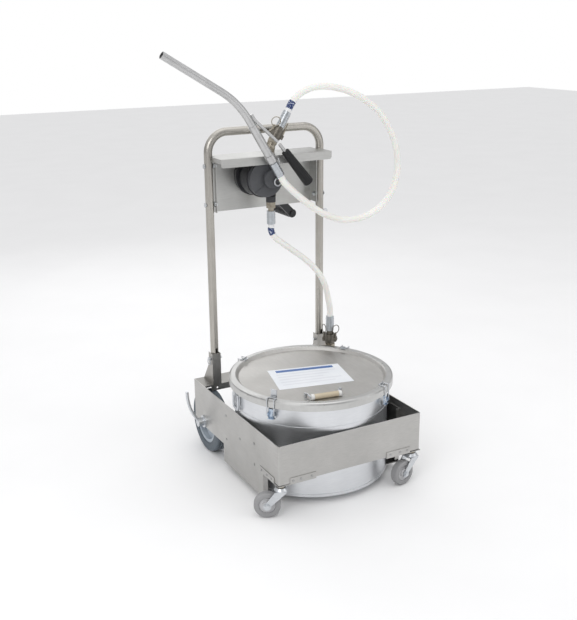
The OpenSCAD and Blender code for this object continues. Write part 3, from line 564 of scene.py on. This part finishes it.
def make_rings(name, at, direction, body, slot, finish, radius, places, thick=0.9 * MM, side=64):
    """Raised rings round a round part, at distances along it."""
    turns = [2 * math.pi * k / 10 for k in range(10)]
    outline = [(thick * math.cos(a), radius + thick * 0.9 * math.sin(a)) for a in turns]
    parts = []
    for place in places:
        parts.append(lathe(outline, at + direction * place, direction, side, closed=True))
    paint(add_mesh(name, *merge(parts), body, slot), finish)


def make_crimps():
    """Crimped bands on the four hose ends, at distances in millimetres along each."""
    for name, at, direction, places in (
            ("crimps_outlet", OUTLET, OUTLET_AXIS, (76, 92, 100, 108)),
            ("crimps_wand", WAND_LOW, WAND_DOWN, (36, 44, 52, 62)),
            ("crimps_port", cart(*PORT, 776), -UP, (12, 20, 28, 35)),
            ("crimps_riser", cart(*RISER, 360), UP, (14, 22, 30, 40))):
        make_rings(name, at, direction, "cart", "zinc", "ferrule", 13 * MM, [v * MM for v in places])


# The label's corners on the lid's flat panel, and the panel's height, in millimetres
LABEL_CORNERS = [(-101, 331), (120, 278), (87, 129), (-140, 176)]
LID_PANEL_Z = 310


def label_point(u, v, lift):
    """A point on the lid's label, u along its header and v down it."""
    a, b, c, d = (Vector((*p, 0)) for p in LABEL_CORNERS)
    flat = (a * (1 - u) + b * u) * (1 - v) + (d * (1 - u) + c * u) * v
    return cart(flat.x, flat.y, LID_PANEL_Z + lift)


def label_sheet(name, u0, v0, u1, v1, lift, finish):
    """A flat patch of the label."""
    steps = 8
    verts = [label_point(u0 + (u1 - u0) * i / steps, v0 + (v1 - v0) * j / steps, lift)
             for j in range(steps + 1) for i in range(steps + 1)]
    row = steps + 1
    faces = [(j * row + i, j * row + i + 1, (j + 1) * row + i + 1, (j + 1) * row + i)
             for j in range(steps) for i in range(steps)]
    paint(add_mesh(name, verts, faces, "lid", "hose_white"), finish)


def make_label():
    """A blank instruction label: white sheet, blue header bar and rows of pale grey blocks, no writing."""
    label_sheet("label_sheet", 0, 0, 1, 1, 0.25, "paper")
    label_sheet("label_header", 0.10, 0.06, 0.90, 0.17, 0.4, "header")
    rows, first, pitch = 5, 0.26, 0.13
    for row in range(rows):
        v = first + row * pitch
        label_sheet(f"label_row_{row}", 0.08, v, 0.90 - 0.11 * (row % 3), v + 0.035, 0.4, "print_grey")


def make_seams():
    """Two beads at the drum's bottom seam, and a low bead round its wall a little above the cart's plates."""
    make_rings("drum_bottom_bead", DRUM_AXIS, UP, "cart", "drum_metal", "zinc", 233.4 * MM,
               [24 * MM, 28.5 * MM], 0.8 * MM, 160)
    make_rings("drum_top_bead", DRUM_AXIS, UP, "cart", "drum_metal", "drum", 232.2 * MM,
               [240 * MM], 0.7 * MM, 160)


def paint_part(node, key, wanted):
    """Gives a second material to the faces of a CAD node whose middle is wanted."""
    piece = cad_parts[node]
    piece.data.materials.append(MATERIALS[key])
    for polygon in piece.data.polygons:
        if wanted(piece.matrix_world @ polygon.center):
            polygon.material_index = 1


def paint_two_tones():
    """A brighter rolled rim round the lid's panel, and pale hubs in the grey caster treads."""
    lid_panel_r, hub_r = 226.5 * MM, 24.5 * MM
    paint_part("lid", "rim_metal", lambda at: (at - DRUM_AXIS).xy.length > lid_panel_r)
    for side in SIDES:
        node = "caster_wheel_" + side
        hub = box_centre(node)
        paint_part(node, "hub", lambda at: (at - hub).length < hub_r)


make_tyres()
make_gasket()
make_wand_grip()
make_crank_grip()
make_handle_barrel()
make_crimps()
make_label()
make_seams()
paint_two_tones()

# ---------------------------------------------------------------- stage


def make_world():
    """Soft light from all sides, brightest overhead, and white wherever the camera sees past the floor."""
    world = bpy.data.worlds.new("studio")
    world.use_nodes = True
    tree = world.node_tree
    back = tree.nodes["Background"]
    coord = tree.nodes.new("ShaderNodeTexCoord")
    split = tree.nodes.new("ShaderNodeSeparateXYZ")
    tree.links.new(coord.outputs["Generated"], split.inputs[0])
    ramp = tree.nodes.new("ShaderNodeValToRGB")
    shades = ((0.0, 0.35), (0.47, 0.50), (0.53, 0.32), (0.68, 0.66), (1.0, 1.0))
    while len(ramp.color_ramp.elements) < len(shades):
        ramp.color_ramp.elements.new(0.5)
    for element, (place, shade) in zip(ramp.color_ramp.elements, shades):
        element.position = place
        element.color = (shade, shade, shade * 1.01, 1)
    height = tree.nodes.new("ShaderNodeMapRange")
    height.inputs["From Min"].default_value = -1
    tree.links.new(split.outputs["Z"], height.inputs["Value"])
    tree.links.new(height.outputs["Result"], ramp.inputs["Fac"])
    tree.links.new(ramp.outputs["Color"], back.inputs["Color"])
    white = tree.nodes.new("ShaderNodeBackground")
    white.inputs["Color"].default_value = (1, 1, 1, 1)
    path = tree.nodes.new("ShaderNodeLightPath")
    choose = tree.nodes.new("ShaderNodeMixShader")
    tree.links.new(path.outputs["Is Camera Ray"], choose.inputs[0])
    tree.links.new(back.outputs[0], choose.inputs[1])
    tree.links.new(white.outputs[0], choose.inputs[2])
    tree.links.new(choose.outputs[0], tree.nodes["World Output"].inputs["Surface"])
    bpy.context.scene.world = world


def add_area(name, at, target, size, power):
    """A soft square light."""
    data = bpy.data.lights.new(name, "AREA")
    data.size = size
    data.energy = power
    light = bpy.data.objects.new(name, data)
    light.location = at
    light.rotation_mode = "QUATERNION"
    light.rotation_quaternion = (target - at).to_track_quat("-Z", "Y")
    bpy.context.scene.collection.objects.link(light)


def make_floor():
    """A plain pale floor that ends 12 m from the origin."""
    reach = 12
    mesh = bpy.data.meshes.new("floor")
    corners = [(-reach, -reach, 0), (reach, -reach, 0), (reach, reach, 0), (-reach, reach, 0)]
    mesh.from_pydata(corners, [], [(0, 1, 2, 3)])
    floor = bpy.data.objects.new("floor", mesh)
    bpy.context.scene.collection.objects.link(floor)
    mat, tree, shader = new_material("pale floor")
    shade = to_range(tree, noise(tree, 3), 0.93, 0.95)
    join = tree.nodes.new("ShaderNodeCombineColor")
    for k in range(3):
        tree.links.new(shade, join.inputs[k])
    tree.links.new(join.outputs[0], shader.inputs["Base Color"])
    shader.inputs["Roughness"].default_value = 0.9
    mesh.materials.append(mat)


make_world()
make_floor()
CENTRE = cart(0, 260, 500)
add_area("key", cart(-2400, -1500, 2300), CENTRE, 1.6, 26)
add_area("fill", cart(2300, -1900, 1500), CENTRE, 2.0, 10)
add_area("top", cart(200, 300, 3000), CENTRE, 2.2, 8)
add_area("back", cart(300, 2600, 1900), CENTRE, 1.8, 9)
bpy.context.scene.view_settings.view_transform = "Standard"
